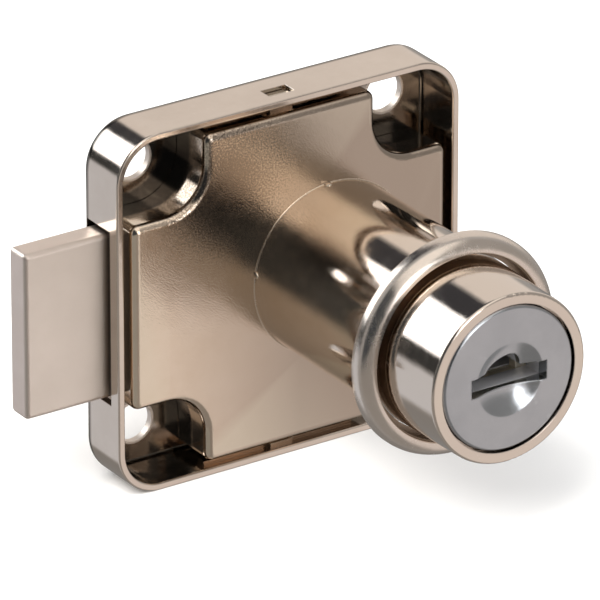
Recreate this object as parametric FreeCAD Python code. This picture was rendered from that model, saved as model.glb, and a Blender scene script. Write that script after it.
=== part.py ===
import FreeCAD, Part
import math
import os

from FreeCAD import Vector

# Square drawer lock, 19 mm barrel, sliding bolt thrown by a half turn of the plug. Millimetres.
# +Z is up, the barrel points along -Y, the bolt points along -X.
# The origin is on the barrel's axis, in the mounting face (the front face of the plate).

os.makedirs("parts", exist_ok=True)

# ---- case tray: pressed steel, rim forward ----
CASE_CENTRE_X = -4.95
CASE_WIDTH = 41.2
CASE_HEIGHT = 39.5
CASE_CORNER_R = 5.0
CASE_FRONT_Y = 0.25
CASE_BACK_Y = 6.8
SHEET = 0.8
CASE_BACK_EDGE_R = 1.1
CASE_RIM_EDGE_R = 0.2
WINDOW_DEPTH = 1.1
CUT_DEPTH = 1.0
DRILL_DEPTH = 1.3
CASE_FLOOR_Y = CASE_BACK_Y - SHEET
SCREW_SPACING_X = 30.4
SCREW_SPACING_Z = 29.2
SCREW_HOLE_R = 2.15
TAB_SLOT_WIDTH = 3.0
TAB_SLOT_Y = (1.7, 3.4)
WINDOW_HALF_HEIGHT = 9.6
WINDOW_FRONT_Y = 1.65

# ---- cast body: front plate with notched corners, and the barrel ----
PLATE_WIDTH = 37.8
PLATE_HEIGHT = 36.3
NOTCH_HALF_X = 10.2
NOTCH_HALF_Z = 10.2
NOTCH_CORNER_R = 4.6
PLATE_CORNER_R = 0.9
PLATE_EDGE_R = 0.8
PLATE_BAND_Y = 2.9
BODY_BACK_Y = CASE_FLOOR_Y - 0.05
WALL_SETBACK = 0.35
WALL_LAP = 0.5
LEDGE_Y = 2.5
LEDGE_HALF_Z = 18.6
LEDGE_INSET = 1.2
CHANNEL_FRONT_Y = 2.2
CHANNEL_HALF_HEIGHT = 9.3
CHANNEL_RIGHT_X = 12.3
RIB_WALL = 1.6
RIB_POCKET_FRONT_Y = 2.0
LUG_WIDTH = 2.7
LUG_Y = (1.85, 3.25)
LUG_SINK = 0.4

BARREL_R = 9.4
BARREL_STRAIGHT_Y = -21.0
BARREL_TIP_R = 9.15
BARREL_FRONT_Y = -31.6
BARREL_EDGE_R = 0.3
BARREL_NOSE_RUN = 0.32
BORE_R = 6.96
MOUTH_R = 7.95
MOUTH_FLOOR_Y = -30.1
WAFER_GROOVE_R = 8.0
WAFER_GROOVE_HALF_Z = 2.35
WAFER_GROOVE_BACK_Y = -6.4
RETAINER_GROOVE_Y = (-2.3, -0.7)
STOP_RECESS_FRONT_Y = 0.4
STOP_RECESS_R = 8.2

# ---- plug and what turns with it ----
PLUG_R = 6.9
PLUG_FRONT_Y = -30.25
PLUG_BACK_Y = 0.35
KEYWAY_HALF_X = 4.5
KEYWAY_LOW_Z = -1.1
KEYWAY_HIGH_Z = 0.9
KEYWAY_BACK_Y = -4.6
RIB_ARC = ((-2.6, 0.9), (-1.05, 2.1), (0.45, 2.45), (1.35, 1.95), (1.7, 0.9))
TAIL_HALF = 1.7
TAIL_BACK_Y = 2.05
TAIL_ROOT = 0.3
RIVET_R = 0.6
RIVET_Z = 4.9
RIVET_LENGTH = 1.6
RIVET_ROOT = 0.3

CAP_R = 7.8
CAP_FRONT_Y = -31.8
CAP_BACK_Y = -30.3
CAP_EDGE_R = 0.7
DIMPLE_R = 4.0
DIMPLE_DEPTH = 1.0
DIMPLE_EDGE_R = 0.55

CAM_R = 6.7
CAM_Y = (0.5, 2.05)
STOP_LUG_R = 8.0
STOP_LUG_HALF_WIDTH = 1.2
PIN_OFFSET = 4.6
PIN_R = 1.9
PIN_BACK_Y = 5.4
PIN_EDGE_R = 0.3
FIT = 0.05

# ---- wafers ----
WAFER_COUNT = 6
WAFER_FIRST_Y = -27.4
WAFER_PITCH = 3.4
WAFER_THICKNESS = 1.1
WAFER_SLOT = 1.3
WAFER_R = 6.85
WAFER_HALF_Z = 2.15
WAFER_SLOT_HALF_Z = 2.25
WAFER_HOLE_LOW_Z = -1.2
WAFER_HOLE_HIGH_Z = 1.0
KEY_CUT_RIGHT = (3.3, 3.9, 3.5, 4.1, 3.4, 3.8)
KEY_CUT_LEFT = -4.6
EAR_X = (-1.1, 0.1)
EAR_TOP_Z = 4.0
EAR_ROOM = 0.95
POCKET_END_X = 4.3
POCKET_TOP_Z = 4.15

RETAINER_Y = -1.5
RETAINER_TIP_X = 7.75
RETAINER_TAIL_X = -3.6
RETAINER_SLOT_X = -4.6
EAR_ROOT = 0.3

SPRING_COIL_R = 0.42
SPRING_WIRE_R = 0.13
SPRING_TURNS = 5
SPRING_Z = 3.15
SPRING_END_GAP = 0.03

# ---- bolt ----
BOLT_TIP_X = -35.1
BOLT_END_X = 2.6
BOLT_HALF_HEIGHT = 9.1
BOLT_Y = (2.4, 5.6)
BOLT_FRONT_EDGE_R = 0.55
BOLT_BACK_EDGE_R = 0.8
BOLT_CORNER_R = 0.5
PIN_PLAY = 0.1
SLOT_STEPS = 24

# ---- trim ring ----
RING_R = 11.85
RING_BORE_R = 9.46
RING_LIP_R = 10.05
RING_BACK_Y = -21.2
RING_FRONT_Y = -23.3
RING_FLOOR_Y = -21.5
RING_FRONT_EDGE_R = 1.55
RING_LIP_EDGE_R = 0.2

Y_AXIS = Vector(0, 1, 0)
ORIGIN = Vector(0, 0, 0)
PAST = 1.0


def box(x, y, z):
    """A block between two x values, two y values and two z values."""
    corner = Vector(x[0], y[0], z[0])
    return Part.makeBox(x[1] - x[0], y[1] - y[0], z[1] - z[0], corner)


def rod(radius, y, x=0.0, z=0.0):
    """A round rod along Y between two y values."""
    return Part.makeCylinder(radius, y[1] - y[0], Vector(x, y[0], z), Y_AXIS)


def turned(points):
    """A solid turned about the barrel's axis from (radius, y) points."""
    outline = [Vector(radius, y, 0) for radius, y in points]
    outline.append(outline[0])
    face = Part.Face(Part.makePolygon(outline))
    return face.revolve(ORIGIN, Y_AXIS, 360)


def edges_at(shape, test):
    """The edges whose every vertex and middle point pass the test."""
    found = []
    for edge in shape.Edges:
        first, last = edge.ParameterRange
        points = [edge.valueAt(first), edge.valueAt((first + last) / 2), edge.valueAt(last)]
        if all(test(point) for point in points):
            found.append(edge)
    return found


def near(value, target, tolerance=0.02):
    return abs(value - target) < tolerance


def rounded_block(width, height, y, radius):
    """A block along Y about the case's centre, with its four upright corners rounded."""
    x = (CASE_CENTRE_X - width / 2, CASE_CENTRE_X + width / 2)
    block = box(x, y, (-height / 2, height / 2))
    corners = edges_at(
        block,
        lambda p: any(near(p.x, side) for side in x) and near(abs(p.z), height / 2),
    )
    return block.makeFillet(radius, corners)


def keyway(y):
    """The key's cross section, a flat slot with one arched side, as a cutter along Y."""
    left, rise, top, fall, right = [Vector(x, y[0], z) for x, z in RIB_ARC]
    arch = [
        Part.Arc(left, rise, top).toShape(),
        Part.Arc(top, fall, right).toShape(),
        Part.makeLine(right, left),
    ]
    hump = Part.Face(Part.Wire(arch)).extrude(Vector(0, y[1] - y[0], 0))
    slot = box((-KEYWAY_HALF_X, KEYWAY_HALF_X), y, (KEYWAY_LOW_Z, KEYWAY_HIGH_Z + FIT))
    return slot.fuse(hump)


def wafer_y(index):
    """The middle of one wafer along the plug."""
    return WAFER_FIRST_Y + index * WAFER_PITCH


def mirrored(shape):
    return shape.mirror(ORIGIN, Vector(1, 0, 0))


def side_of(index, shape):
    """Wafers are stacked with their springs on alternate sides."""
    if index % 2:
        return mirrored(shape)
    return shape


# ---------------------------------------------------------------- case tray
def case_tray():
    outer = rounded_block(CASE_WIDTH, CASE_HEIGHT, (CASE_FRONT_Y, CASE_BACK_Y), CASE_CORNER_R)
    outer = outer.makeFillet(
        CASE_BACK_EDGE_R, edges_at(outer, lambda p: near(p.y, CASE_BACK_Y))
    )
    inner = rounded_block(
        CASE_WIDTH - 2 * SHEET,
        CASE_HEIGHT - 2 * SHEET,
        (CASE_FRONT_Y - PAST, CASE_FLOOR_Y),
        CASE_CORNER_R - SHEET,
    )
    inner = inner.makeFillet(
        CASE_BACK_EDGE_R - SHEET, edges_at(inner, lambda p: near(p.y, CASE_FLOOR_Y))
    )
    tray = outer.cut(inner)
    tray = tray.makeFillet(
        CASE_RIM_EDGE_R, edges_at(tray, lambda p: near(p.y, CASE_FRONT_Y))
    )
    left_x = CASE_CENTRE_X - CASE_WIDTH / 2
    tray = tray.cut(
        box(
            (left_x - PAST, left_x + WINDOW_DEPTH),
            (WINDOW_FRONT_Y, CASE_FLOOR_Y),
            (-WINDOW_HALF_HEIGHT, WINDOW_HALF_HEIGHT),
        )
    )
    slot_x = (CASE_CENTRE_X - TAB_SLOT_WIDTH / 2, CASE_CENTRE_X + TAB_SLOT_WIDTH / 2)
    slot_z = (CASE_HEIGHT / 2 - CUT_DEPTH, CASE_HEIGHT / 2 + PAST)
    tray = tray.cut(box(slot_x, TAB_SLOT_Y, slot_z))
    tray = tray.cut(box(slot_x, TAB_SLOT_Y, (-slot_z[1], -slot_z[0])))
    for x_side in (-1, 1):
        for z_side in (-1, 1):
            x = CASE_CENTRE_X + x_side * SCREW_SPACING_X / 2
            z = z_side * SCREW_SPACING_Z / 2
            through = (CASE_BACK_Y - DRILL_DEPTH, CASE_BACK_Y + PAST)
            tray = tray.cut(rod(SCREW_HOLE_R, through, x, z))
    return tray


# ---------------------------------------------------------------- cast body
def notched_block(y, setback, corner_r, outer_r):
    """The plate's cross-shaped outline, drawn in by setback, along Y."""
    half_x = PLATE_WIDTH / 2 - setback
    half_z = PLATE_HEIGHT / 2 - setback
    x = (CASE_CENTRE_X - half_x, CASE_CENTRE_X + half_x)
    block = box(x, y, (-half_z, half_z))
    inner_x = NOTCH_HALF_X - setback
    inner_z = NOTCH_HALF_Z - setback
    for x_side in (-1, 1):
        for z_side in (-1, 1):
            ends_x = sorted((x_side * inner_x, x_side * (half_x + PAST)))
            ends_z = sorted((z_side * inner_z, z_side * (half_z + PAST)))
            block = block.cut(
                box([CASE_CENTRE_X + end for end in ends_x], (y[0] - PAST, y[1] + PAST), ends_z)
            )
    concave = edges_at(
        block,
        lambda p: near(abs(p.x - CASE_CENTRE_X), inner_x) and near(abs(p.z), inner_z),
    )
    block = block.makeFillet(corner_r, concave)
    if outer_r:
        convex = edges_at(
            block,
            lambda p: (near(abs(p.x - CASE_CENTRE_X), half_x) and near(abs(p.z), inner_z))
            or (near(abs(p.x - CASE_CENTRE_X), inner_x) and near(abs(p.z), half_z)),
        )
        block = block.makeFillet(outer_r, convex)
    return block


def barrel_blank():
    """The outside of the barrel: straight, then a slight taper to a rounded nose."""
    run = BARREL_FRONT_Y + BARREL_NOSE_RUN
    blank = turned(
        [
            (0, CHANNEL_FRONT_Y),
            (BARREL_R, CHANNEL_FRONT_Y),
            (BARREL_R, BARREL_STRAIGHT_Y),
            (BARREL_TIP_R, run),
            (BARREL_TIP_R, BARREL_FRONT_Y),
            (0, BARREL_FRONT_Y),
        ]
    )
    rim = edges_at(blank, lambda p: near(p.y, BARREL_FRONT_Y) and math.hypot(p.x, p.z) > MOUTH_R)
    return blank.makeFillet(BARREL_EDGE_R, rim)


def rib_pocket(z_side):
    """The lightening pocket from behind, in the rib above or below the bolt."""
    x = (CASE_CENTRE_X - NOTCH_HALF_X + RIB_WALL, CASE_CENTRE_X + NOTCH_HALF_X - RIB_WALL)
    z = sorted((z_side * (CHANNEL_HALF_HEIGHT + RIB_WALL), z_side * (PLATE_HEIGHT / 2 - RIB_WALL)))
    return box(x, (RIB_POCKET_FRONT_Y, BODY_BACK_Y + PAST), z)


def stop_recess():
    """The half-round recess that the cam's stop lug sweeps, on the bolt's side."""
    y = (STOP_RECESS_FRONT_Y, CHANNEL_FRONT_Y + PAST)
    ring = rod(STOP_RECESS_R, y)
    keep = STOP_LUG_HALF_WIDTH + FIT
    reach = STOP_RECESS_R + PAST
    return ring.common(box((-reach, keep), y, (-reach, reach)))


def lock_body():
    plate = notched_block((0, PLATE_BAND_Y), 0, NOTCH_CORNER_R, PLATE_CORNER_R)
    plate = plate.makeFillet(PLATE_EDGE_R, edges_at(plate, lambda p: near(p.y, 0)))
    walls = notched_block(
        (PLATE_BAND_Y - WALL_LAP, BODY_BACK_Y), WALL_SETBACK, NOTCH_CORNER_R + WALL_SETBACK, 0
    )
    ledge_x = (CASE_CENTRE_X - NOTCH_HALF_X + LEDGE_INSET, CASE_CENTRE_X + NOTCH_HALF_X - LEDGE_INSET)
    ledge = box(ledge_x, (LEDGE_Y, BODY_BACK_Y), (-LEDGE_HALF_Z, LEDGE_HALF_Z))
    body = plate.fuse(walls).fuse(ledge).fuse(barrel_blank())
    left = CASE_CENTRE_X - PLATE_WIDTH / 2 - PAST
    channel_z = (-CHANNEL_HALF_HEIGHT, CHANNEL_HALF_HEIGHT)
    channel_y = (CHANNEL_FRONT_Y, BODY_BACK_Y + PAST)
    body = body.cut(box((left, CHANNEL_RIGHT_X), channel_y, channel_z))
    body = body.cut(rib_pocket(1)).cut(rib_pocket(-1))
    lug_x = (CASE_CENTRE_X - LUG_WIDTH / 2, CASE_CENTRE_X + LUG_WIDTH / 2)
    lug_z = (PLATE_HEIGHT / 2 - PAST, CASE_HEIGHT / 2 - LUG_SINK)
    body = body.fuse(box(lug_x, LUG_Y, lug_z)).fuse(box(lug_x, LUG_Y, (-lug_z[1], -lug_z[0])))
    body = body.cut(rod(BORE_R, (BARREL_FRONT_Y - PAST, CHANNEL_FRONT_Y + PAST)))
    body = body.cut(rod(MOUTH_R, (BARREL_FRONT_Y - PAST, MOUTH_FLOOR_Y)))
    body = body.cut(rod(WAFER_GROOVE_R, RETAINER_GROOVE_Y))
    groove = rod(WAFER_GROOVE_R, (MOUTH_FLOOR_Y - FIT, WAFER_GROOVE_BACK_Y)).common(
        box(
            (-BARREL_R, BARREL_R),
            (MOUTH_FLOOR_Y - FIT, WAFER_GROOVE_BACK_Y),
            (-WAFER_GROOVE_HALF_Z, WAFER_GROOVE_HALF_Z),
        )
    )
    body = body.cut(groove)
    return body.cut(stop_recess()).removeSplitter()


# ---------------------------------------------------------------- plug
def wafer_opening(index):
    """The slot and spring pocket that one wafer needs in the plug."""
    y = (wafer_y(index) - WAFER_SLOT / 2, wafer_y(index) + WAFER_SLOT / 2)
    slot = box((-PLUG_R - PAST, PLUG_R + PAST), y, (-WAFER_SLOT_HALF_Z, WAFER_SLOT_HALF_Z))
    pocket = box((EAR_X[0] - EAR_ROOM, POCKET_END_X), y, (WAFER_SLOT_HALF_Z - FIT, POCKET_TOP_Z))
    return slot.fuse(side_of(index, pocket))


def retainer_opening():
    y = (RETAINER_Y - WAFER_SLOT / 2, RETAINER_Y + WAFER_SLOT / 2)
    slot = box((RETAINER_SLOT_X, PLUG_R + PAST), y, (-WAFER_SLOT_HALF_Z, WAFER_SLOT_HALF_Z))
    pocket = box((-POCKET_END_X, -EAR_X[0] + FIT), y, (WAFER_SLOT_HALF_Z - FIT, POCKET_TOP_Z))
    return slot.fuse(pocket)


def plug():
    shape = rod(PLUG_R, (PLUG_FRONT_Y, PLUG_BACK_Y))
    shape = shape.fuse(
        box((-TAIL_HALF, TAIL_HALF), (PLUG_BACK_Y - TAIL_ROOT, TAIL_BACK_Y), (-TAIL_HALF, TAIL_HALF))
    )
    shape = shape.cut(keyway((PLUG_FRONT_Y - PAST, KEYWAY_BACK_Y)))
    for index in range(WAFER_COUNT):
        shape = shape.cut(wafer_opening(index))
    shape = shape.cut(retainer_opening())
    for z in (-RIVET_Z, RIVET_Z):
        hole = (PLUG_FRONT_Y - PAST, CAP_BACK_Y + RIVET_LENGTH + FIT)
        shape = shape.cut(rod(RIVET_R + FIT, hole, 0, z))
    return shape


def plug_cap():
    """A stainless disc over the plug's end, with a shallow round dimple about the keyway."""
    disc = rod(CAP_R, (CAP_FRONT_Y, CAP_BACK_Y))
    disc = disc.makeFillet(CAP_EDGE_R, edges_at(disc, lambda p: near(p.y, CAP_FRONT_Y)))
    ball_r = (DIMPLE_R**2 + DIMPLE_DEPTH**2) / (2 * DIMPLE_DEPTH)
    centre = Vector(0, CAP_FRONT_Y + DIMPLE_DEPTH - ball_r, 0)
    disc = disc.cut(Part.makeSphere(ball_r, centre))
    rim = edges_at(
        disc, lambda p: near(p.y, CAP_FRONT_Y) and math.hypot(p.x, p.z) < DIMPLE_R + FIT
    )
    disc = disc.makeFillet(DIMPLE_EDGE_R, rim)
    disc = disc.cut(keyway((CAP_FRONT_Y - PAST, CAP_BACK_Y + PAST)))
    for z in (-RIVET_Z, RIVET_Z):
        disc = disc.fuse(rod(RIVET_R, (CAP_BACK_Y - RIVET_ROOT, CAP_BACK_Y + RIVET_LENGTH), 0, z))
    return disc


def drive_cam():
    """The disc on the plug's tail, with its stop lug and the pin that throws the bolt."""
    shape = rod(CAM_R, CAM_Y)
    lug = rod(STOP_LUG_R, CAM_Y).common(
        box((-STOP_LUG_HALF_WIDTH, STOP_LUG_HALF_WIDTH), CAM_Y, (-STOP_LUG_R, -CAM_R + PAST))
    )
    shape = shape.fuse(lug)
    hole = TAIL_HALF + FIT
    shape = shape.cut(box((-hole, hole), (CAM_Y[0] - PAST, CAM_Y[1] + PAST), (-hole, hole)))
    pin = rod(PIN_R, (CAM_Y[0], PIN_BACK_Y), -PIN_OFFSET, 0)
    pin = pin.makeFillet(PIN_EDGE_R, edges_at(pin, lambda p: near(p.y, PIN_BACK_Y)))
    return shape.fuse(pin).removeSplitter()


# ---------------------------------------------------------------- wafers and springs
def wafer(index):
    middle = wafer_y(index)
    y = (middle - WAFER_THICKNESS / 2, middle + WAFER_THICKNESS / 2)
    plate = box((-WAFER_R, WAFER_R), y, (-WAFER_HALF_Z, WAFER_HALF_Z)).common(rod(WAFER_R, y))
    plate = plate.fuse(box(EAR_X, y, (WAFER_HALF_Z - EAR_ROOT, EAR_TOP_Z)))
    plate = side_of(index, plate)
    hole_x = (KEY_CUT_LEFT, KEY_CUT_RIGHT[index])
    hole = box(hole_x, (y[0] - PAST, y[1] + PAST), (WAFER_HOLE_LOW_Z, WAFER_HOLE_HIGH_Z))
    return plate.cut(side_of(index, hole))


def retainer():
    """The solid wafer behind the others, that snaps into the groove around the bore."""
    y = (RETAINER_Y - WAFER_THICKNESS / 2, RETAINER_Y + WAFER_THICKNESS / 2)
    plate = box((RETAINER_TAIL_X, RETAINER_TIP_X), y, (-WAFER_HALF_Z, WAFER_HALF_Z))
    plate = plate.common(rod(RETAINER_TIP_X, y))
    return plate.fuse(box((-EAR_X[1], -EAR_X[0]), y, (WAFER_HALF_Z - EAR_ROOT, EAR_TOP_Z)))


def coil(start_x, end_x, y):
    """A small open coil spring along X."""
    clear = SPRING_WIRE_R + SPRING_END_GAP
    length = end_x - start_x - 2 * clear
    helix = Part.makeHelix(length / SPRING_TURNS, length, SPRING_COIL_R)
    start = Vector(SPRING_COIL_R, 0, 0)
    section = Part.Wire(Part.makeCircle(SPRING_WIRE_R, start, Vector(0, 1, 0)))
    wire = Part.Wire(helix.Edges).makePipeShell([section], True, True)
    wire.rotate(ORIGIN, Y_AXIS, 90)
    wire.translate(Vector(start_x + clear, y, SPRING_Z))
    return wire


def wafer_spring(index):
    return side_of(index, coil(EAR_X[1], POCKET_END_X, wafer_y(index)))


def retainer_spring():
    return mirrored(coil(EAR_X[1], POCKET_END_X, RETAINER_Y))


# ---------------------------------------------------------------- bolt
def pin_centre(angle):
    """Where the pin is in the bolt's slot, as (x, z), at an angle of the plug's half turn.

    The bolt moves in step with the angle and the pin goes round, so the pin wanders sideways a little.
    """
    wander = PIN_OFFSET * (1 - math.cos(angle) - 2 * angle / math.pi)
    return wander, PIN_OFFSET * math.sin(angle)


def pin_slot():
    """The bolt's cross slot: the pin's whole path in the bolt, plus the pin's own size."""
    half = PIN_R + PIN_PLAY
    y = BOLT_Y[0] - PAST
    outline = []
    for step in range(SLOT_STEPS + 1):
        angle = math.pi * step / SLOT_STEPS
        x, z = pin_centre(angle)
        run_x = math.sin(angle) - 2 / math.pi
        run_z = math.cos(angle)
        length = math.hypot(run_x, run_z)
        across = Vector(-run_z * half / length, 0, run_x * half / length)
        outline.append(Vector(x - PIN_OFFSET, y, z) + across)
    flank = Part.BSplineCurve()
    flank.interpolate(outline)
    foot = Part.Arc(outline[-1], Vector(-PIN_OFFSET, y, -half), outline[0])
    face = Part.Face(Part.Wire([flank.toShape(), foot.toShape()]))
    upper = face.extrude(Vector(0, BOLT_Y[1] - BOLT_Y[0] + 2 * PAST, 0))
    lower = upper.mirror(ORIGIN, Vector(0, 0, 1))
    return upper.fuse(lower)


def bolt():
    slab = box((BOLT_TIP_X, BOLT_END_X), BOLT_Y, (-BOLT_HALF_HEIGHT, BOLT_HALF_HEIGHT))
    corners = edges_at(slab, lambda p: near(p.x, BOLT_TIP_X) and near(abs(p.z), BOLT_HALF_HEIGHT))
    slab = slab.makeFillet(BOLT_CORNER_R, corners)
    front = edges_at(slab, lambda p: near(p.y, BOLT_Y[0]))
    rounded = [edge for edge in front if edge.BoundBox.XMin < BOLT_END_X - PAST]
    slab = slab.makeFillet(BOLT_FRONT_EDGE_R, rounded)
    back = edges_at(slab, lambda p: near(p.y, BOLT_Y[1]) and p.x < BOLT_TIP_X + BOLT_CORNER_R + FIT)
    slab = slab.makeFillet(BOLT_BACK_EDGE_R, back)
    return slab.cut(pin_slot())


# ---------------------------------------------------------------- trim ring
def trim_ring():
    ring = turned(
        [
            (RING_BORE_R, RING_BACK_Y),
            (RING_R, RING_BACK_Y),
            (RING_R, RING_FRONT_Y),
            (RING_LIP_R, RING_FRONT_Y),
            (RING_LIP_R, RING_FLOOR_Y),
            (RING_BORE_R, RING_FLOOR_Y),
        ]
    )
    outer = edges_at(ring, lambda p: near(p.y, RING_FRONT_Y) and near(math.hypot(p.x, p.z), RING_R))
    ring = ring.makeFillet(RING_FRONT_EDGE_R, outer)
    lip = edges_at(
        ring, lambda p: near(p.y, RING_FRONT_Y) and near(math.hypot(p.x, p.z), RING_LIP_R)
    )
    return ring.makeFillet(RING_LIP_EDGE_R, lip)


nodes = {
    "case_tray": case_tray(),
    "lock_body": lock_body(),
    "bolt": bolt(),
    "plug": plug(),
    "plug_cap": plug_cap(),
    "drive_cam": drive_cam(),
    "retaining_wafer": retainer(),
    "retaining_spring": retainer_spring(),
    "trim_ring": trim_ring(),
}
for number in range(WAFER_COUNT):
    nodes[f"wafer_{number + 1}"] = wafer(number)
    nodes[f"wafer_spring_{number + 1}"] = wafer_spring(number)

for name, shape in nodes.items():
    solid = shape.Solids[0]
    solid.exportStep(f"parts/{name}.step")
    print(name, len(shape.Solids), solid.isValid(), round(solid.Volume, 2))
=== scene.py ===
import math

import bmesh
import bpy
from mathutils import Matrix, Vector, noise

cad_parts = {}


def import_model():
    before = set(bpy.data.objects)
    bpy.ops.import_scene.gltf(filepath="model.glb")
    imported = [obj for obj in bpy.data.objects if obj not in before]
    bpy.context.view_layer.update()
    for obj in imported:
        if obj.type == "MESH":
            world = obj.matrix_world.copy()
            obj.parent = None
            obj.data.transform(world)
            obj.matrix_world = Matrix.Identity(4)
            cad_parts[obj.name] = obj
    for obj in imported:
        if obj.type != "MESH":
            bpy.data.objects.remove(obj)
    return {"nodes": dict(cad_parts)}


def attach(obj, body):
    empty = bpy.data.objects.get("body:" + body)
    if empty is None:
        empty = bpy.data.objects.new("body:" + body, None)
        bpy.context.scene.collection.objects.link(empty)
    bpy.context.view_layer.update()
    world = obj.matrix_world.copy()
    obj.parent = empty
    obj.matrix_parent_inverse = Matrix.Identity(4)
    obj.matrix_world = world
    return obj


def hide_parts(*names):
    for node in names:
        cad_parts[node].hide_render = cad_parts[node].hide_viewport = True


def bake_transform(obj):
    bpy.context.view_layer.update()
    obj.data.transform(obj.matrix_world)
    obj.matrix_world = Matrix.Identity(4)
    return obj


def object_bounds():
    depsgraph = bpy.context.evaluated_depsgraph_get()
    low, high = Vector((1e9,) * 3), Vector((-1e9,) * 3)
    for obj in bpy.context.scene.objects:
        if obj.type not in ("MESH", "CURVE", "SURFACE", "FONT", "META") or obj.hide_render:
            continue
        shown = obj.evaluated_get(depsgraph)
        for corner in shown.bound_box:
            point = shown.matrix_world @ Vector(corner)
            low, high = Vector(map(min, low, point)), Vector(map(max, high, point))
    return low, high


# Square-case drawer lock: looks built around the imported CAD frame. The barrel runs along Y and points to -Y.
# Lengths are in metres, except in the outlines of pieces, which are in mm until the mesh is made.
MM = 0.001

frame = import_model()
cad_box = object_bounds()

# ---------------------------------------------------------------- camera
CAMERA_AZIMUTH = math.radians(-33.38)
CAMERA_ELEVATION = math.radians(25.06)
CAMERA_DISTANCE = 966.7 * MM
CAMERA_LENS = 572.3
CAMERA_SENSOR = 36.0
CAMERA_REACH = 20
AIM_RIGHT = -3.26 * MM
AIM_UP = -3.396 * MM


def make_camera():
    """The photo's camera, shifted sideways and upwards in its own picture plane."""
    towards = Vector((
        math.sin(CAMERA_AZIMUTH) * math.cos(CAMERA_ELEVATION),
        -math.cos(CAMERA_AZIMUTH) * math.cos(CAMERA_ELEVATION),
        math.sin(CAMERA_ELEVATION),
    ))
    right = Vector((math.cos(CAMERA_AZIMUTH), math.sin(CAMERA_AZIMUTH), 0))
    up = towards.cross(right)
    place = towards * CAMERA_DISTANCE + right * AIM_RIGHT + up * AIM_UP
    data = bpy.data.cameras.new("photo_camera")
    data.lens = CAMERA_LENS
    data.sensor_width = CAMERA_SENSOR
    data.clip_end = CAMERA_REACH
    camera = bpy.data.objects.new("photo_camera", data)
    camera.matrix_world = Matrix.Translation(place) @ Matrix((right, up, towards)).transposed().to_4x4()
    bpy.context.scene.collection.objects.link(camera)
    bpy.context.scene.camera = camera


# ---------------------------------------------------------------- node helpers
class Nodes:
    """A short way to write a material's node tree."""

    def __init__(self, tree):
        self.tree = tree

    def add(self, kind, inputs=None, **settings):
        node = self.tree.nodes.new(kind)
        for key, value in settings.items():
            setattr(node, key, value)
        for key, value in (inputs or {}).items():
            self.feed(node.inputs[key], value)
        return node

    def feed(self, socket, value):
        """Joins a socket to another node's output, or sets it to a plain value."""
        if isinstance(value, bpy.types.NodeSocket):
            self.tree.links.new(value, socket)
        else:
            socket.default_value = value

    def noise(self, where, scale, detail=3.0, roughness=0.5):
        inputs = {"Vector": where, "Scale": scale, "Detail": detail, "Roughness": roughness}
        return self.add("ShaderNodeTexNoise", inputs).outputs["Fac"]

    def spread(self, value, low, high, out_low, out_high):
        inputs = {"Value": value, "From Min": low, "From Max": high, "To Min": out_low, "To Max": out_high}
        return self.add("ShaderNodeMapRange", inputs).outputs["Result"]

    def maths(self, operation, first, second=0.0):
        node = self.add("ShaderNodeMath", operation=operation)
        self.feed(node.inputs[0], first)
        self.feed(node.inputs[1], second)
        return node.outputs[0]

    def product(self, first, second):
        return self.maths("MULTIPLY", first, second)

    def total(self, first, second):
        return self.maths("ADD", first, second)

    def distance(self, first, second):
        squares = self.total(self.product(first, first), self.product(second, second))
        return self.maths("SQRT", squares)

    def blend(self, factor, first, second):
        node = self.add("ShaderNodeMix", {"Factor": factor, "A": first, "B": second}, data_type="RGBA")
        return node.outputs["Result"]


def colour(red, green, blue):
    return (red, green, blue, 1.0)


# ---------------------------------------------------------------- metal
# Noise scales are per metre. Depths are along Y, from the plate's face at 0 towards the back.
BLOTCH_SCALE = 140.0
CLOUD_SCALE = 420.0
GRIT_SCALE = 5200
EDGE_BRIGHTNESS = 1.12
EDGE_POINTINESS = (0.52, 0.62)
EDGE_WEAR = 0.35
FAR_TINT_Y = (-4 * MM, -24 * MM)
BARREL_START_Y = (-0.2 * MM, -1.2 * MM)
PLATE_Y = (-0.3 * MM, 0.0)
PLATE_EDGE_Y = (0.05 * MM, 0.3 * MM)
PITS = (0.40, 0.66)
PITS_ON_BARREL = 0.12
PITS_ON_EDGE = 0.15
SAND_REACH = 3.5 * MM
# Soft edges of the painted shade in the recesses.
SHADE_START = 0.2 * MM
SHADE_END = 0.1 * MM
# Painted shade on the bolt where it enters the case: its tone, strength and soft edges.
THROAT_SHADE = (0.06, 0.05, 0.045)
THROAT_STRENGTH = 0.9
THROAT_SOFT = (0.5 * MM, 0.8 * MM)
RIM_SOFT = (0.1 * MM, 0.3 * MM)
RIM_ROUGH = 0.4
BEVEL_SAMPLES = 4
CASE_X = -4.95 * MM
SCREW_X = 15.2 * MM
SCREW_Z = 14.6 * MM
SCREW_R = 2.15 * MM


def plate_painted_shade(tree, tone, place_parts, grit, side_shade, shade_patches):
    """Painted shade on the plate: darker towards one side of its width, and soft dark patches with a sandy
    edge that stand in for dark reflections.
    """
    across, along, height = place_parts
    on_plate = tree.spread(along, *PLATE_Y, 0.0, 1.0)
    if side_shade:
        start, end, tint = side_shade
        cover = tree.product(on_plate, tree.spread(across, start, end, 0.0, 1.0))
        tone = tree.blend(cover, tone, colour(*tint))
    # Each patch is a painted dark reflection on the plate, with a sandy edge.
    for x, z, reach, tint in shade_patches:
        away = tree.distance(tree.maths("SUBTRACT", across, x), tree.maths("SUBTRACT", height, z))
        sand = tree.spread(grit, 0.3, 0.7, -SAND_REACH, SAND_REACH)
        cover = tree.spread(tree.total(away, sand), reach * 0.3, reach, 1.0, 0.0)
        tone = tree.blend(tree.product(on_plate, cover), tone, colour(*tint))
    return tone


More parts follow.
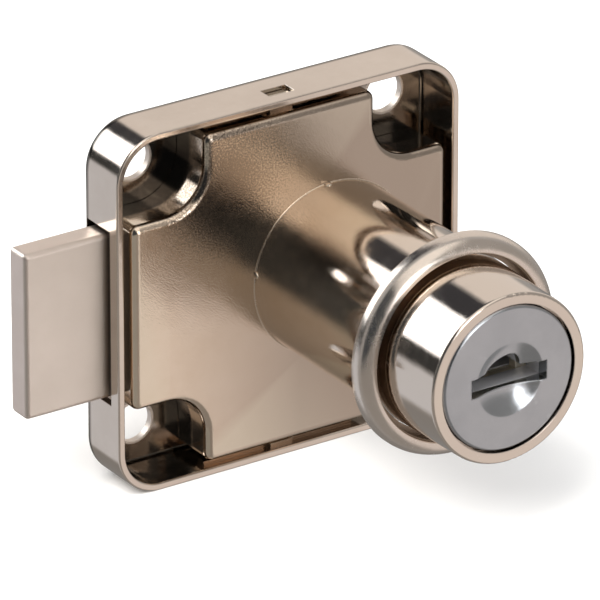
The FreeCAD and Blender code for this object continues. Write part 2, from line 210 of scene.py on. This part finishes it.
def recess_shade_tone(tree, tone, along, blotch, recess_shade):
    """Painted shade in recesses: a patchy dark tint between two depths."""
    shade_tint, shallow, deep = recess_shade
    inside = tree.spread(along, shallow - SHADE_START, shallow + SHADE_START, 0.0, 1.0)
    outside = tree.spread(along, deep - SHADE_END, deep + SHADE_END, 1.0, 0.0)
    patchy = tree.spread(blotch, 0.3, 0.7, 0.8, 1.0)
    return tree.blend(tree.product(patchy, tree.product(inside, outside)), tone, colour(*shade_tint))


def throat_painted_shade(tree, tone, across, throat):
    """Painted shade: a dark band on the bolt, where it enters the case."""
    start, end = throat
    soft_in, soft_out = THROAT_SOFT
    into = tree.spread(across, start, start + soft_in, 0.0, THROAT_STRENGTH)
    past = tree.spread(across, end, end + soft_out, 1.0, 0.0)
    return tree.blend(tree.product(into, past), tone, colour(*THROAT_SHADE))


def near_screw_hole(tree, across, height):
    """1 on the walls of the four screw holes and 0 away from them."""
    from_x = tree.maths("SUBTRACT", tree.maths("ABSOLUTE", tree.maths("SUBTRACT", across, CASE_X)), SCREW_X)
    from_z = tree.maths("SUBTRACT", tree.maths("ABSOLUTE", height), SCREW_Z)
    inner, outer = RIM_SOFT
    return tree.spread(tree.distance(from_x, from_z), SCREW_R + inner, SCREW_R + outer, 1.0, 0.0)


def pit_height(tree, along, grit):
    """Scattered pin-sized pits: full on the plate's face, fainter on its edges and on the barrel."""
    pits = tree.spread(grit, *PITS, 1.0, 0.0)
    on_barrel = tree.spread(along, *BARREL_START_Y, 1.0, PITS_ON_BARREL)
    on_edge = tree.spread(along, *PLATE_EDGE_Y, 1.0, PITS_ON_EDGE)
    return tree.product(pits, tree.product(on_barrel, on_edge))


def metal(name, light, dark, rough, grain_scale, grain_height, wave_scale=0.0, wave_height=0.0,
          rough_spread=0.06, edge_round=0.0, metallic=1.0, speckle=0.0, far_tint=None, far_rough=None,
          recess_shade=None, side_shade=None, shade_patches=(), screw_rims=False, throat=None):
    """Plated or bare metal: blotchy tone and gloss, fine grain, slow waviness, softened and brighter edges.

    far_tint is a second tone that takes over along the barrel, from the plate to the nose, and far_rough a
    second roughness that takes over where the barrel leaves the plate. speckle is the height of the pits.
    recess_shade is a painted shade in recesses, (tint, from y, to y); side_shade a painted shade across the
    plate, (from x, to x, tint);
    each of shade_patches a painted dark reflection on the plate, (x, z, reach, tint); and throat a painted
    shade band on the bolt, (from x, to x). screw_rims dulls the walls and rims of the screw holes."""
    material = bpy.data.materials.new(name)
    material.use_nodes = True
    tree = Nodes(material.node_tree)
    shader = material.node_tree.nodes["Principled BSDF"]
    place = tree.add("ShaderNodeTexCoord").outputs["Object"]
    blotch = tree.noise(place, BLOTCH_SCALE, 4.0, 0.6)
    fine = tree.noise(place, grain_scale, 3.0, 0.55)
    grit = tree.noise(place, GRIT_SCALE, 2.0, 0.6)
    cloud = tree.noise(place, CLOUD_SCALE, 4.0, 0.65)
    place_parts = tree.add("ShaderNodeSeparateXYZ", {"Vector": place}).outputs
    across, along, height = place_parts

    tone = tree.blend(tree.spread(blotch, 0.3, 0.7, 0.0, 1.0), colour(*dark), colour(*light))
    if far_tint:
        tone = tree.blend(tree.spread(along, *FAR_TINT_Y, 0.0, 1.0), tone, colour(*far_tint))
    # Painted shade on the plate: darker towards its right side, with painted dark reflections.
    if side_shade or shade_patches:
        tone = plate_painted_shade(tree, tone, place_parts, grit, side_shade, shade_patches)
    # Painted shade: a dark tint in the recesses, between two depths.
    if recess_shade:
        tone = recess_shade_tone(tree, tone, along, blotch, recess_shade)
    pointiness = tree.add("ShaderNodeNewGeometry").outputs["Pointiness"]
    bright = colour(*[min(1.0, channel * EDGE_BRIGHTNESS) for channel in light])
    tone = tree.blend(tree.spread(pointiness, *EDGE_POINTINESS, 0.0, EDGE_WEAR), tone, bright)
    # Painted shade: a dark band on the bolt at the case's wall.
    if throat:
        tone = throat_painted_shade(tree, tone, across, throat)

    gloss = tree.spread(fine, 0.25, 0.75, rough - rough_spread / 2, rough + rough_spread / 2)
    gloss = tree.total(gloss, tree.spread(cloud, 0.3, 0.7, -rough_spread, rough_spread))
    if far_rough is not None:
        gloss = tree.total(gloss, tree.spread(along, *BARREL_START_Y, 0.0, far_rough - rough))
    if screw_rims:
        dull = near_screw_hole(tree, across, height)
        tone = tree.blend(dull, tone, colour(*light))
        gloss = tree.total(gloss, tree.product(dull, RIM_ROUGH))

    normal = None
    if edge_round:
        bevel = tree.add("ShaderNodeBevel", {"Radius": edge_round}, samples=BEVEL_SAMPLES)
        normal = bevel.outputs["Normal"]
    if wave_height:
        normal = bump(tree, tree.noise(place, wave_scale, 1.5, 0.4), wave_height, normal)
    if speckle:
        normal = bump(tree, pit_height(tree, along, grit), speckle, normal)
    normal = bump(tree, fine, grain_height, normal)

    tree.feed(shader.inputs["Base Color"], tone)
    tree.feed(shader.inputs["Roughness"], gloss)
    tree.feed(shader.inputs["Metallic"], metallic)
    tree.feed(shader.inputs["Normal"], normal)
    return material


def bump(tree, height, distance, normal=None):
    inputs = {"Height": height, "Distance": distance, "Strength": 1.0}
    if normal is not None:
        inputs["Normal"] = normal
    return tree.add("ShaderNodeBump", inputs).outputs["Normal"]


def dress(node, material):
    """Gives a CAD node its finish."""
    slots = frame["nodes"][node].data.materials
    slots.clear()
    slots.append(material)


# ---------------------------------------------------------------- finishes
MICRON = 0.001 * MM
GOLDEN = (0.87, 0.74, 0.61)
GOLDEN_DARK = (0.78, 0.64, 0.50)
PALE = (0.88, 0.79, 0.71)
PALE_DARK = (0.80, 0.71, 0.63)
# Painted shade: a dark tint on the notch floors and on the casting's side walls, where the recesses fall into
# shade.
NOTCH_PAINTED_SHADE = ((0.045, 0.045, 0.04), 5.6 * MM, 6.3 * MM)
WALL_PAINTED_SHADE = ((0.09, 0.08, 0.07), 3.6 * MM, 6.6 * MM)
# Painted shade: the plate turns darker from its left edge towards its right side.
PLATE_SIDE_SHADE = (-21 * MM, -4 * MM, (0.52, 0.44, 0.37))
# Painted dark reflection: a soft brown-dark patch on the plate's upper left, near the notch.
PLATE_SHADE_PATCH = (-12.8 * MM, 12.5 * MM, 8.5 * MM, (0.30, 0.24, 0.19))

sheet = metal("plated_sheet", PALE, PALE_DARK, 0.12, 1500, 3 * MICRON, 150, 40 * MICRON,
              rough_spread=0.04, edge_round=0.12 * MM, recess_shade=NOTCH_PAINTED_SHADE, screw_rims=True)
cast = metal("plated_casting", (1.0, 0.86, 0.72), (0.92, 0.77, 0.62), 0.125, 900, 3 * MICRON, 240,
             30 * MICRON, rough_spread=0.05, edge_round=0.15 * MM, speckle=6 * MICRON, far_tint=PALE,
             far_rough=0.075, recess_shade=WALL_PAINTED_SHADE, side_shade=PLATE_SIDE_SHADE, shade_patches=(PLATE_SHADE_PATCH,))
dull_cast = metal("casting_root", GOLDEN, GOLDEN_DARK, 0.25, 900, 3 * MICRON)
# Painted shade: a dark tone for the floor of the groove between the trim ring and the nose, standing in for
# the shade there.
recess = metal("recess_painted_shade", (0.34, 0.27, 0.21), (0.24, 0.19, 0.15), 0.35, 1500, 3 * MICRON)
polished = metal("plated_ring", (0.90, 0.82, 0.75), (0.85, 0.77, 0.70), 0.24, 900, 4 * MICRON, 300,
                 10 * MICRON)
sandy = metal("plated_bolt", (0.98, 0.87, 0.80), (0.90, 0.79, 0.72), 0.46, 5200, 10 * MICRON,
              edge_round=0.1 * MM, speckle=8 * MICRON, throat=(-25.8 * MM, -24.3 * MM))
steel = metal("satin_stainless", (0.57, 0.60, 0.64), (0.49, 0.52, 0.56), 0.17, 2200, 3 * MICRON, 200,
              10 * MICRON, rough_spread=0.04, edge_round=0.2 * MM)
zinc = metal("bare_zinc", (0.66, 0.66, 0.68), (0.52, 0.52, 0.55), 0.42, 1800, 10 * MICRON,
             edge_round=0.1 * MM, metallic=0.75)
brass = metal("wafer_brass", (0.80, 0.74, 0.62), (0.68, 0.61, 0.48), 0.34, 1800, 6 * MICRON,
              edge_round=0.1 * MM, metallic=0.85)
spring = metal("spring_steel", (0.62, 0.62, 0.64), (0.50, 0.50, 0.52), 0.22, 2500, 3 * MICRON)

FINISHES = {"case_tray": sheet, "lock_body": cast, "trim_ring": polished, "bolt": sandy, "plug_cap": steel,
            "plug": zinc, "drive_cam": zinc}
for node in frame["nodes"]:
    dress(node, FINISHES.get(node, spring if "spring" in node else brass))


# ---------------------------------------------------------------- pieces turned about the barrel's axis
AROUND = 256
BARREL_R = 9.4
ARC_STEPS = 10
AXIS_R = 1e-6
SHARP_ANGLE = 35


def rounded(points, radii):
    """A closed outline of (radius, y) points in mm with each corner turned into an arc."""
    outline = []
    count = len(points)
    for index, radius in enumerate(radii):
        corner = Vector(points[index])
        before = (Vector(points[index - 1]) - corner).normalized()
        after = (Vector(points[(index + 1) % count]) - corner).normalized()
        if not radius:
            outline.append(corner)
            continue
        half = before.angle(after) / 2
        centre = corner + (before + after).normalized() * (radius / math.sin(half))
        start = corner + before * (radius / math.tan(half)) - centre
        end = corner + after * (radius / math.tan(half)) - centre
        sweep = start.angle_signed(end)
        for step in range(ARC_STEPS + 1):
            arm = start.copy()
            arm.rotate(Matrix.Rotation(-sweep * step / ARC_STEPS, 2))
            outline.append(centre + arm)
    return outline


def lathe(name, outline, material, body):
    """A piece turned about the barrel's axis from a closed outline of (radius, y) points in mm."""
    shape = bmesh.new()
    rings = []
    for radius, y in outline:
        if radius < AXIS_R:
            rings.append([shape.verts.new((0, y * MM, 0))])
            continue
        turns = [2 * math.pi * step / AROUND for step in range(AROUND)]
        places = [(radius * MM * math.cos(turn), y * MM, radius * MM * math.sin(turn)) for turn in turns]
        rings.append([shape.verts.new(place) for place in places])
    for first, second in zip(rings, rings[1:] + rings[:1]):
        for step in range(AROUND):
            following = (step + 1) % AROUND
            corners = [first[step % len(first)], first[following % len(first)],
                       second[following % len(second)], second[step % len(second)]]
            corners = list(dict.fromkeys(corners))
            if len(corners) > 2:
                shape.faces.new(corners)
    bmesh.ops.recalc_face_normals(shape, faces=shape.faces)
    return piece(name, shape, material, body)


def piece(name, shape, material, body, sharp=SHARP_ANGLE):
    """Turns finished mesh data into a named piece that rides on a body."""
    mesh = bpy.data.meshes.new(name)
    shape.to_mesh(mesh)
    shape.free()
    mesh.shade_smooth()
    mesh.set_sharp_from_angle(angle=math.radians(sharp))
    mesh.materials.append(material)
    thing = bpy.data.objects.new(name, mesh)
    bpy.context.scene.collection.objects.link(thing)
    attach(thing, body)
    return thing


# ---------------------------------------------------------------- trim ring
RING = ((9.46, -21.2), (11.85, -21.2), (11.85, -23.3), (10.05, -23.3), (10.05, -21.5), (9.46, -21.5))
RING_ROUNDING = (0.08, 0.12, 1.6, 0.16, 0.12, 0.06)
RING_FLOOR = ((9.52, -21.52), (10.06, -21.52), (10.06, -22.75), (9.98, -22.75), (9.98, -21.6),
              (9.52, -21.6))
ring = lathe("ring_look", rounded(RING, RING_ROUNDING), polished, "ring")
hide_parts("trim_ring")
# The groove's floor, in the dark painted-shade tone.
lathe("ring_recess", RING_FLOOR, recess, "ring")

# ---------------------------------------------------------------- blend at the barrel's root
ROOT_R = 0.13
ROOT_BURIED = (0.05, 0.03)


def root_outline():
    """A concave quarter round between the barrel's wall and the plate, sunk a little into both."""
    in_wall, in_plate = ROOT_BURIED
    outline = [(BARREL_R - in_wall, -ROOT_R)]
    for turn in range(0, 91, 10):
        bend = math.radians(turn)
        outline.append((BARREL_R + ROOT_R * (1 - math.cos(bend)), ROOT_R * (math.sin(bend) - 1)))
    return outline + [(BARREL_R + ROOT_R, in_plate), (BARREL_R - in_wall, in_plate)]


lathe("barrel_root_blend", root_outline(), dull_cast, "case")

# ---------------------------------------------------------------- nicks of the die's parting line
NICK_STRETCH = (0.55, 1.5, 1.3)
NICK_OUT = 0.5
NICK_LUMPS = 3200
NICK_LUMP_DEPTH = 0.35
NICK_SHARP_ANGLE = 80


def nick(name, angle, size):
    """A lumpy bead at the barrel's root, at an angle about the barrel's axis. The size is in mm."""
    shape = bmesh.new()
    bmesh.ops.create_icosphere(shape, subdivisions=4, radius=size * MM)
    turn = math.radians(angle)
    foot = Vector((BARREL_R * math.cos(turn), -NICK_OUT * size, BARREL_R * math.sin(turn))) * MM
    for vert in shape.verts:
        lump = noise.noise(vert.co * NICK_LUMPS + Vector((angle, 0, 0)))
        vert.co *= 1 + NICK_LUMP_DEPTH * lump
        stretched = Vector([part * stretch for part, stretch in zip(vert.co, NICK_STRETCH)])
        vert.co = Matrix.Rotation(-turn, 3, "Y") @ stretched + foot
    return piece(name, shape, cast, "case", NICK_SHARP_ANGLE)


nick("parting_nick_top", 94, 0.34)
nick("parting_nick_side", 171, 0.28)


# ---------------------------------------------------------------- plug cap
CAP_R = 7.8
CAP_FRONT = -31.8
CAP_BACK = -30.3
CAP_SAG = 0.28
CAP_ROUND = 0.42
BOWL_R = 4.0
BOWL_DEPTH = 1.0
BOWL_BALL = (BOWL_R**2 + BOWL_DEPTH**2) / (2 * BOWL_DEPTH)
LIP_EASE = 0.45 * 0.22
CAP_STEPS = 64
CUTTER_MARGIN = 1
KEYWAY = (-4.5, 4.5, -1.1, 0.95)
HUMP = ((-2.6, 0.95), (-2.25, 1.42), (-1.7, 1.82), (-1.05, 2.12), (-0.3, 2.35), (0.45, 2.45), (1.0, 2.3),
        (1.4, 1.93), (1.62, 1.45), (1.7, 0.95))


def cap_height(radius):
    """The cap's front surface: a slight dome with a round bowl in its middle, its lip eased over."""
    dome = CAP_SAG * (radius / CAP_R) ** 2
    bowl = math.sqrt(max(0.0, BOWL_BALL**2 - radius**2)) - (BOWL_BALL - BOWL_DEPTH)
    eased = (bowl + math.sqrt(bowl * bowl + LIP_EASE**2)) / 2
    return CAP_FRONT + dome + eased


def cap_outline():
    """The cap's section, from the middle of its front over the rounded rim to the middle of its back."""
    outline = [(0.0, cap_height(0.0))]
    flat_r = CAP_R - CAP_ROUND
    for step in range(1, CAP_STEPS + 1):
        radius = flat_r * step / CAP_STEPS
        outline.append((radius, cap_height(radius)))
    edge = cap_height(flat_r)
    for step in range(1, ARC_STEPS + 1):
        turn = math.pi / 2 * step / ARC_STEPS
        outline.append((flat_r + CAP_ROUND * math.sin(turn), edge + CAP_ROUND * (1 - math.cos(turn))))
    outline += [(CAP_R, CAP_BACK), (0.0, CAP_BACK)]
    return outline


def prism(name, outline, low, high):
    """A scratch solid along Y from an outline of (x, z) points in mm."""
    shape = bmesh.new()
    ends = [[shape.verts.new((x * MM, y * MM, z * MM)) for x, z in outline] for y in (low, high)]
    shape.faces.new(ends[0])
    shape.faces.new(reversed(ends[1]))
    count = len(outline)
    for step in range(count):
        following = (step + 1) % count
        shape.faces.new((ends[0][step], ends[1][step], ends[1][following], ends[0][following]))
    bmesh.ops.recalc_face_normals(shape, faces=shape.faces)
    mesh = bpy.data.meshes.new(name)
    shape.to_mesh(mesh)
    shape.free()
    thing = bpy.data.objects.new(name, mesh)
    bpy.context.scene.collection.objects.link(thing)
    return thing


def carve(thing, cutter):
    """Cuts one scratch solid out of a piece for good."""
    cut = thing.modifiers.new("cut", "BOOLEAN")
    cut.operation = "DIFFERENCE"
    cut.solver = "EXACT"
    cut.object = cutter
    done = bpy.data.meshes.new_from_object(thing.evaluated_get(bpy.context.evaluated_depsgraph_get()))
    thing.modifiers.clear()
    thing.data = done
    bpy.data.objects.remove(cutter)
    done.shade_smooth()
    done.set_sharp_from_angle(angle=math.radians(SHARP_ANGLE))


def keyway_outline():
    """The keyway as (x, z) points in mm: a bar with a hump on it."""
    left, right, low, high = KEYWAY
    return [(left, low), (right, low), (right, high), *reversed(HUMP), (left, high)]


cap = lathe("cap_look", cap_outline(), steel, "plug")
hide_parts("plug_cap")
carve(cap, prism("keyway_cutter", keyway_outline(), CAP_FRONT - CUTTER_MARGIN, CAP_BACK + CUTTER_MARGIN))


# ---------------------------------------------------------------- springs
SPRING_OWNERS = {"retaining_spring": ("retainer", -1)}
SPRING_OWNERS.update({f"wafer_spring_{n}": (f"wafer_{n}", 1 if n % 2 else -1) for n in range(1, 7)})


def live_spring(node):
    """A copy of a spring's CAD mesh, set in world space and shown in place of the CAD node."""
    coil = frame["nodes"][node]
    mesh = coil.data.copy()
    mesh.transform(coil.matrix_world)
    thing = bpy.data.objects.new(node + "_look", mesh)
    bpy.context.scene.collection.objects.link(thing)
    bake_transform(thing)
    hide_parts(node)


for spring_node, (wafer, side) in SPRING_OWNERS.items():
    live_spring(spring_node)


# ---------------------------------------------------------------- stage and light
FLOOR_HALF = 3.0
FLOOR_MOTTLE = 8.0
FLOOR_TONES = ((0.90, 0.895, 0.885), (0.93, 0.925, 0.915))
FLOOR_ROUGH = 0.8


def link_stage(name, mesh, material):
    mesh.materials.append(material)
    thing = bpy.data.objects.new(name, mesh)
    bpy.context.scene.collection.objects.link(thing)
    return thing


def floor():
    """A pale sheet at the object's lowest point. Reflections see the dome in its place."""
    material = bpy.data.materials.new("pale_floor")
    material.use_nodes = True
    shader = material.node_tree.nodes["Principled BSDF"]
    tree = Nodes(material.node_tree)
    place = tree.add("ShaderNodeTexCoord").outputs["Object"]
    tone = tree.blend(tree.noise(place, FLOOR_MOTTLE), *[colour(*tint) for tint in FLOOR_TONES])
    tree.feed(shader.inputs["Base Color"], tone)
    tree.feed(shader.inputs["Roughness"], FLOOR_ROUGH)
    low, half = cad_box[0][2], FLOOR_HALF
    mesh = bpy.data.meshes.new("floor")
    corners = [(-half, -half, low), (half, -half, low), (half, half, low), (-half, half, low)]
    mesh.from_pydata(corners, [], [(0, 1, 2, 3)])
    link_stage("floor", mesh, material).visible_glossy = False


# The studio as the metal sees it, as patches of a dome. A patch is the angle about the barrel's axis in
# degrees (0 is +X, 90 is up), half its width, the range of the direction's Y part, its tint and its strength.
# Later ones lie over earlier ones. Around them the dome goes from a low tone to a high one as Z rises.
DOME_R = 6.0
DOME_LOW = (0.30, 0.285, 0.27)
DOME_HIGH = (0.40, 0.39, 0.38)
DOME_RISE = (-0.6, 0.6)
POLE_LEVEL = 0.9
SOFT_EDGE = 0.04
POLE_SOFT_EDGE = 0.006
RING_SOFT_EDGE = 0.07
PATCHES = (
    (40, 36, 0.10, 1.1, (0.72, 0.66, 0.61), 1.0),
    (213, 26, 0.20, 1.1, (0.55, 0.55, 0.57), 1.0),
    (294, 50, 0.10, 1.1, (0.23, 0.22, 0.21), 1.0),
    (174, 13, 0.10, 1.1, (0.04, 0.04, 0.04), 1.0),
    (92, 17, 0.10, 1.1, (0.045, 0.045, 0.05), 1.0),
    (135.5, 26.5, 0.40, 0.97, (0.97, 0.99, 1.00), 3.0),
    (89, 35, -1.1, -0.20, (0.96, 0.90, 0.83), 1.0),
    (163, 39, -1.1, -0.20, (0.045, 0.05, 0.055), 1.0),
    (19, 37, -1.1, -0.20, (0.32, 0.30, 0.28), 1.0),
    (248, 46, -1.1, -0.20, (0.27, 0.25, 0.23), 1.0),
    (320, 27, -1.1, -0.20, (0.67, 0.60, 0.56), 1.0),
    (35, 70, -0.994, -0.945, (1.00, 0.99, 0.98), 3.6),
)


def soft_edge(level):
    return POLE_SOFT_EDGE if POLE_LEVEL < abs(level) < 1 else SOFT_EDGE


def patch_mask(tree, x, y, z, angle, half_width, y_low, y_high):
    """1 inside the patch and 0 outside, with soft edges, narrower ones near the dome's poles."""
    low_edge, high_edge = soft_edge(y_low), soft_edge(y_high)
    above = tree.spread(y, y_low - low_edge, y_low + low_edge, 0.0, 1.0)
    below = tree.spread(y, y_high - high_edge, y_high + high_edge, 1.0, 0.0)
    turn = math.radians(angle)
    along = tree.total(tree.product(x, math.cos(turn)), tree.product(z, math.sin(turn)))
    edge = math.cos(math.radians(half_width))
    soft = RING_SOFT_EDGE * math.sin(math.radians(half_width))
    return tree.product(tree.product(above, below), tree.spread(along, edge - soft, edge + soft, 0.0, 1.0))


def dome_material():
    """A glow that depends only on the direction from the origin."""
    material = bpy.data.materials.new("studio_dome")
    material.use_nodes = True
    nodes = material.node_tree.nodes
    nodes.remove(nodes["Principled BSDF"])
    tree = Nodes(material.node_tree)
    place = tree.add("ShaderNodeTexCoord").outputs["Object"]
    way = tree.add("ShaderNodeVectorMath", {0: place}, operation="NORMALIZE").outputs[0]
    parts = tree.add("ShaderNodeSeparateXYZ", {"Vector": way}).outputs
    flat = tree.add("ShaderNodeCombineXYZ", {"X": parts["X"], "Z": parts["Z"]}).outputs[0]
    flat = tree.add("ShaderNodeVectorMath", {0: flat}, operation="NORMALIZE").outputs[0]
    ring = tree.add("ShaderNodeSeparateXYZ", {"Vector": flat}).outputs
    tone = tree.blend(tree.spread(parts["Z"], *DOME_RISE, 0.0, 1.0), colour(*DOME_LOW), colour(*DOME_HIGH))
    for angle, half_width, y_low, y_high, tint, strength in PATCHES:
        mask = patch_mask(tree, ring["X"], parts["Y"], ring["Z"], angle, half_width, y_low, y_high)
        tone = tree.blend(mask, tone, colour(*[channel * strength for channel in tint]))
    glow = tree.add("ShaderNodeEmission", {"Color": tone, "Strength": 1.0})
    material.node_tree.links.new(glow.outputs[0], nodes["Material Output"].inputs["Surface"])
    material.cycles.emission_sampling = "NONE"
    return material


def dome():
    """A shell around everything that only reflections see."""
    shell = bmesh.new()
    bmesh.ops.create_icosphere(shell, subdivisions=5, radius=DOME_R)
    mesh = bpy.data.meshes.new("studio_dome")
    shell.to_mesh(mesh)
    shell.free()
    thing = link_stage("studio_dome", mesh, dome_material())
    thing.visible_camera = False
    thing.visible_diffuse = False
    thing.visible_shadow = False
    thing.visible_transmission = False


# name, azimuth and elevation in degrees, distance, side, watts, tint
LIGHTS = (
    ("key", -60, 50, 0.8, 0.5, 9.0, (1.0, 0.98, 0.95)),
    ("fill", 45, 35, 0.9, 0.5, 5.0, (0.94, 0.97, 1.0)),
)
WORLD_TINT = (0.95, 0.95, 0.955)
WORLD_STRENGTH = 0.75
MAX_BOUNCES = 12
GLOSSY_BOUNCES = 8


def area(name, azimuth, elevation, distance, side, power, tint):
    """A square light that faces the origin. The metal doesn't reflect it."""
    a, e = math.radians(azimuth), math.radians(elevation)
    out = Vector((math.sin(a) * math.cos(e), -math.cos(a) * math.cos(e), math.sin(e)))
    data = bpy.data.lights.new(name, "AREA")
    data.shape = "RECTANGLE"
    data.size = data.size_y = side
    data.energy = power
    data.color = tint
    light = bpy.data.objects.new(name, data)
    light.location = out * distance
    light.rotation_euler = out.to_track_quat("Z", "Y").to_euler()
    light.visible_glossy = False
    bpy.context.scene.collection.objects.link(light)


def world():
    scene_world = bpy.data.worlds.new("studio")
    scene_world.use_nodes = True
    background = scene_world.node_tree.nodes["Background"]
    background.inputs["Color"].default_value = colour(*WORLD_TINT)
    background.inputs["Strength"].default_value = WORLD_STRENGTH
    bpy.context.scene.world = scene_world
    bpy.context.scene.view_settings.view_transform = "Standard"
    bpy.context.scene.view_settings.look = "None"
    bpy.context.scene.cycles.max_bounces = MAX_BOUNCES
    bpy.context.scene.cycles.glossy_bounces = GLOSSY_BOUNCES


make_camera()
world()
floor()
dome()
for light_row in LIGHTS:
    area(*light_row)
